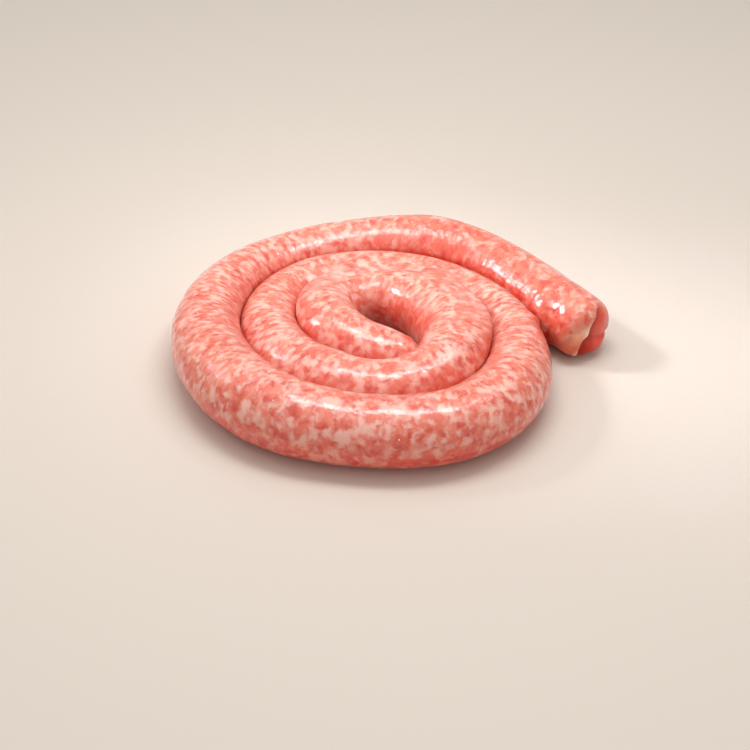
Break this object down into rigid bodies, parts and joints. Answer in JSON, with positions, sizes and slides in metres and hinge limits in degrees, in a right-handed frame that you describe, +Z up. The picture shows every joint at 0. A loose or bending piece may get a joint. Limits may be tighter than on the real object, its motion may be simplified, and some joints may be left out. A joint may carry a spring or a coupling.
{
  "type": "coiled fresh sausage",
  "caption": "One long fresh coarse-ground sausage in a natural casing, coiled flat in a spiral, with a tapered tip in the middle and a folded open end outside.",
  "frame": {"origin": "middle of the footprint, on the surface that the sausage lies on", "axes": "+X along the longest side, towards the folded outer end; +Y away from the picture's viewer; +Z up"},
  "size_m": [0.2186, 0.1928, 0.0355],
  "materials": {
    "raw_meat": "wet glossy natural casing over mottled pink raw meat with pale fat"
  },
  "bodies": {
    "root": {"sausage_coil": "raw_meat"}
  },
  "joints": []
}
